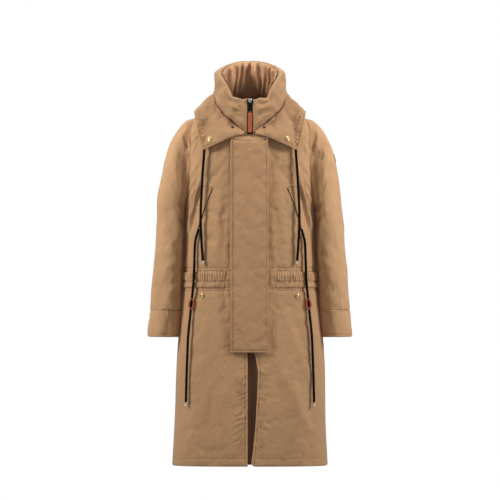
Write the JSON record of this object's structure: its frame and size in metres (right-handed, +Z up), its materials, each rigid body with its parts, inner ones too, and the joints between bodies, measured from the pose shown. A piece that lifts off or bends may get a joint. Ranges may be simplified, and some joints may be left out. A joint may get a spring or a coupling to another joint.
{
  "type": "long padded parka",
  "caption": "Long padded parka with a tall stand collar, cape collar, zip under a storm placket, drawcords with leather toggles and welt pockets.",
  "frame": {"origin": "crown of the hanger loop inside the back neck, under which a hook bears", "axes": "+Z up along the coat's length, +X to the wearer's left, -Y out of the coat's front"},
  "size_m": [0.615, 0.3035, 1.2136],
  "materials": {
    "shell_cloth": "matte",
    "cape_cloth": "matte",
    "lining_cloth": "matte",
    "black_cord": "matte",
    "zip_tape": "matte",
    "leather": "satin",
    "gold_metal": "polished",
    "silver_metal": "satin",
    "black_metal": "satin"
  },
  "bodies": {
    "root": {"back_panel": "shell_cloth", "left_front_panel": "shell_cloth", "right_front_panel": "shell_cloth", "wind_flap": "shell_cloth", "left_waist_band": "shell_cloth", "right_waist_band": "shell_cloth", "left_hip_pocket_welt": "shell_cloth", "right_hip_pocket_welt": "shell_cloth", "left_chest_pocket_welt": "shell_cloth", "right_chest_pocket_welt": "shell_cloth", "stand_collar": "cape_cloth", "cape_collar": "cape_cloth", "back_lining": "lining_cloth", "left_front_lining": "lining_cloth", "right_front_lining": "lining_cloth", "collar_lining": "lining_cloth", "left_zip_tape": "zip_tape", "right_zip_tape": "zip_tape", "left_zip_teeth": "black_metal", "right_zip_teeth": "black_metal", "zip_bottom_box": "black_metal", "left_cape_eyelet": "black_metal", "right_cape_eyelet": "black_metal", "left_neck_cord": "black_cord", "left_neck_cord_tip": "silver_metal", "left_waist_cord": "black_cord", "left_waist_cord_tip": "silver_metal", "left_cape_snap": "gold_metal", "left_hip_snap": "gold_metal", "right_neck_cord": "black_cord", "right_neck_cord_tip": "silver_metal", "right_waist_cord": "black_cord", "right_waist_cord_tip": "silver_metal", "right_cape_snap": "gold_metal", "right_hip_snap": "gold_metal", "placket_snap_stud_1": "gold_metal", "placket_snap_stud_2": "gold_metal", "placket_snap_stud_3": "gold_metal", "hanger_loop": "black_cord"},
    "slider": {"zip_slider": "silver_metal"},
    "zip_pull": {"zip_pull_link": "black_metal", "zip_pull_tab": "leather"},
    "placket": {"placket": "shell_cloth", "placket_snap_socket_1": "gold_metal", "placket_snap_socket_2": "gold_metal", "placket_snap_socket_3": "gold_metal"},
    "left_toggle": {"left_cord_toggle": "leather"},
    "right_toggle": {"right_cord_toggle": "leather"},
    "left_arm": {"left_sleeve": "shell_cloth", "left_cuff": "shell_cloth", "left_sleeve_lining": "lining_cloth", "sleeve_patch": "black_cord"},
    "right_arm": {"right_sleeve": "shell_cloth", "right_cuff": "shell_cloth", "right_sleeve_lining": "lining_cloth"}
  },
  "joints": [
    {"name": "zip_slide", "type": "slide", "parent": "root", "child": "slider", "axis": [0, -0.0523, -0.9986], "range_m": [0, 0.725]},
    {"name": "pull_swing", "type": "hinge", "parent": "slider", "child": "zip_pull", "pos_m": [0, -0.13045, 0.0039], "axis": [-1, 0, 0], "range_deg": [0, 120]},
    {"name": "placket_open", "type": "hinge", "parent": "root", "child": "placket", "pos_m": [-0.054, -0.17585, -0.74775], "axis": [0, -0.0523, -0.9986], "range_deg": [0, 90]},
    {"name": "left_toggle_slide", "type": "slide", "parent": "root", "child": "left_toggle", "axis": [0.1009, -0.0307, -0.9944], "range_m": [-0.02, 0.05]},
    {"name": "right_toggle_slide", "type": "slide", "parent": "root", "child": "right_toggle", "axis": [-0.1009, -0.0307, -0.9944], "range_m": [-0.02, 0.05]},
    {"name": "left_sleeve_swing", "type": "hinge", "parent": "root", "child": "left_arm", "pos_m": [0.168, -0.026, -0.0455], "axis": [0, -1, 0], "range_deg": [0, 25]},
    {"name": "right_sleeve_swing", "type": "hinge", "parent": "root", "child": "right_arm", "pos_m": [-0.168, -0.026, -0.0455], "axis": [0, 1, 0], "range_deg": [0, 25]}
  ]
}
